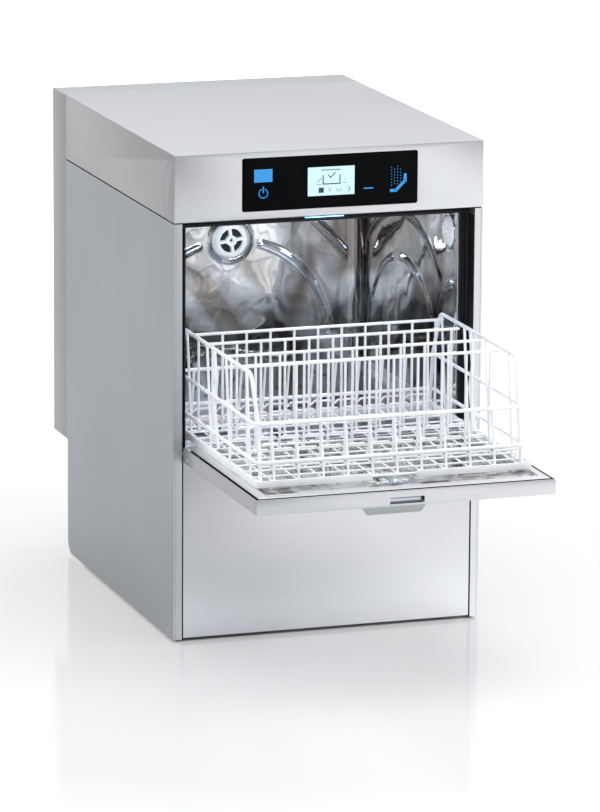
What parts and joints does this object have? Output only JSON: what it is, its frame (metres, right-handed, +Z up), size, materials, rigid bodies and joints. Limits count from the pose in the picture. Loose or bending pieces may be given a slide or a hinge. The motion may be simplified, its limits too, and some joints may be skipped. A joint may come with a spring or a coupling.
{
  "type": "commercial dishwasher",
  "caption": "Undercounter commercial glass-washer in stainless steel, with a drop-down door, a square white wire rack, spray arms above and below, and a lit control panel in the hood.",
  "frame": {"origin": "on the floor, midway across the machine, and midway between the free edge of the open door and the back of the rear housing", "axes": "+X to the right seen from the front, +Y from the door towards the back, +Z up"},
  "size_m": [0.46, 0.9514, 0.7],
  "materials": {
    "brushed_panel": "fine brushed stainless",
    "satin_panel": "satin stainless",
    "polished_liner": "polished stainless",
    "plain_steel": "plain stainless",
    "grip_metal": "satin grey stainless",
    "heater_metal": "heat-tinted sheath",
    "black_seal": "matt rubber",
    "foot_plastic": "moulded nylon",
    "black_glass": "gloss black backed glass",
    "screen": "lit screen",
    "blue_icon": "lit icons",
    "blue_light": "lit light guide",
    "vent_plastic": "moulded white plastic",
    "white_wire": "white plastic-coated wire",
    "circuit_board": "lacquered board",
    "pump_plastic": "glass-filled plastic",
    "pipe_rubber": "ribbed rubber hose",
    "dosing_plastic": "moulded plastic",
    "valve_brass": "machined brass",
    "gland_plastic": "moulded nylon",
    "foam": "closed-cell foam"
  },
  "bodies": {
    "cabinet": {"top_hood": "brushed_panel", "front_service_panel": "brushed_panel", "left_side_panel": "satin_panel", "right_side_panel": "satin_panel", "rear_housing": "satin_panel", "rear_lower_panel": "satin_panel", "chamber_left_wall": "polished_liner", "chamber_right_wall": "polished_liner", "chamber_rear_wall": "polished_liner", "chamber_roof": "polished_liner", "tank_floor": "polished_liner", "tank_sump": "polished_liner", "base_frame": "plain_steel", "front_bulkhead": "plain_steel", "rack_rails": "plain_steel", "tank_strainer": "plain_steel", "hinge_brackets": "plain_steel", "cabinet_screws": "plain_steel", "rinse_boiler": "plain_steel", "boiler_element": "heater_metal", "tank_heater": "heater_metal", "door_gasket": "black_seal", "control_glass": "black_glass", "control_display": "screen", "control_icons": "blue_icon", "status_light": "blue_light", "chamber_vents": "vent_plastic", "control_board": "circuit_board", "wash_pump": "pump_plastic", "drain_pump": "pump_plastic", "drain_outlet": "pump_plastic", "strainer_basket": "pump_plastic", "arm_columns": "pump_plastic", "wash_pipes": "pipe_rubber", "dosing_pumps": "dosing_plastic", "inlet_valve": "valve_brass", "cable_gland": "gland_plastic"},
    "door": {"door_outer_pan": "brushed_panel", "door_inner_panel": "polished_liner", "door_insulation": "foam", "door_grip": "grip_metal", "door_hinge_arms": "plain_steel", "door_screws": "plain_steel"},
    "rack_slider": {"rack_front_rod": "white_wire"},
    "rack": {"rack_base": "white_wire", "rack_hoops": "white_wire", "rack_side_rims": "white_wire", "rack_uprights": "white_wire", "rack_dividers": "white_wire"},
    "lower_wash_arm": {"lower_wash_arm": "plain_steel"},
    "lower_rinse_arm": {"lower_rinse_arm": "plain_steel"},
    "upper_wash_arm": {"upper_wash_arm": "plain_steel"},
    "upper_rinse_arm": {"upper_rinse_arm": "plain_steel"},
    "pump_impeller": {"pump_impeller": "pump_plastic"},
    "front_left_foot": {"front_left_foot": "foot_plastic"},
    "front_right_foot": {"front_right_foot": "foot_plastic"},
    "rear_left_foot": {"rear_left_foot": "foot_plastic"},
    "rear_right_foot": {"rear_right_foot": "foot_plastic"}
  },
  "joints": [
    {"name": "door_hinge", "type": "hinge", "parent": "cabinet", "child": "door", "pos_m": [0, -0.13825, 0.265], "axis": [-1, 0, 0], "range_deg": [0, 90]},
    {"name": "rack_travel", "type": "slide", "parent": "door", "child": "rack_slider", "axis": [0, 1, 0], "range_m": [0, 0.2557]},
    {"name": "rack_level", "type": "hinge", "parent": "rack_slider", "child": "rack", "pos_m": [0, -0.42125, 0.293], "axis": [-1, 0, 0], "range_deg": [-90.01, 0.01]},
    {"name": "lower_wash_arm_spin", "type": "hinge", "parent": "cabinet", "child": "lower_wash_arm", "pos_m": [0, 0.08675, 0.254], "axis": [0, 0, 1], "continuous": true},
    {"name": "lower_rinse_arm_spin", "type": "hinge", "parent": "cabinet", "child": "lower_rinse_arm", "pos_m": [0, 0.08675, 0.269], "axis": [0, 0, 1], "continuous": true},
    {"name": "upper_wash_arm_spin", "type": "hinge", "parent": "cabinet", "child": "upper_wash_arm", "pos_m": [0, 0.08675, 0.613], "axis": [0, 0, 1], "continuous": true},
    {"name": "upper_rinse_arm_spin", "type": "hinge", "parent": "cabinet", "child": "upper_rinse_arm", "pos_m": [0, 0.08675, 0.598], "axis": [0, 0, 1], "continuous": true},
    {"name": "pump_impeller_spin", "type": "hinge", "parent": "cabinet", "child": "pump_impeller", "pos_m": [0.08, 0.05875, 0.072], "axis": [1, 0, 0], "continuous": true},
    {"name": "front_left_foot_height", "type": "slide", "parent": "cabinet", "child": "front_left_foot", "axis": [0, 0, -1], "range_m": [0, 0.02]},
    {"name": "front_right_foot_height", "type": "slide", "parent": "cabinet", "child": "front_right_foot", "axis": [0, 0, -1], "range_m": [0, 0.02]},
    {"name": "rear_left_foot_height", "type": "slide", "parent": "cabinet", "child": "rear_left_foot", "axis": [0, 0, -1], "range_m": [0, 0.02]},
    {"name": "rear_right_foot_height", "type": "slide", "parent": "cabinet", "child": "rear_right_foot", "axis": [0, 0, -1], "range_m": [0, 0.02]}
  ],
  "couplings": [
    {"joint": "rack_travel", "follows": "door_hinge", "m_per_rad": 0.16266},
    {"joint": "rack_level", "follows": "door_hinge", "ratio": -1}
  ]
}
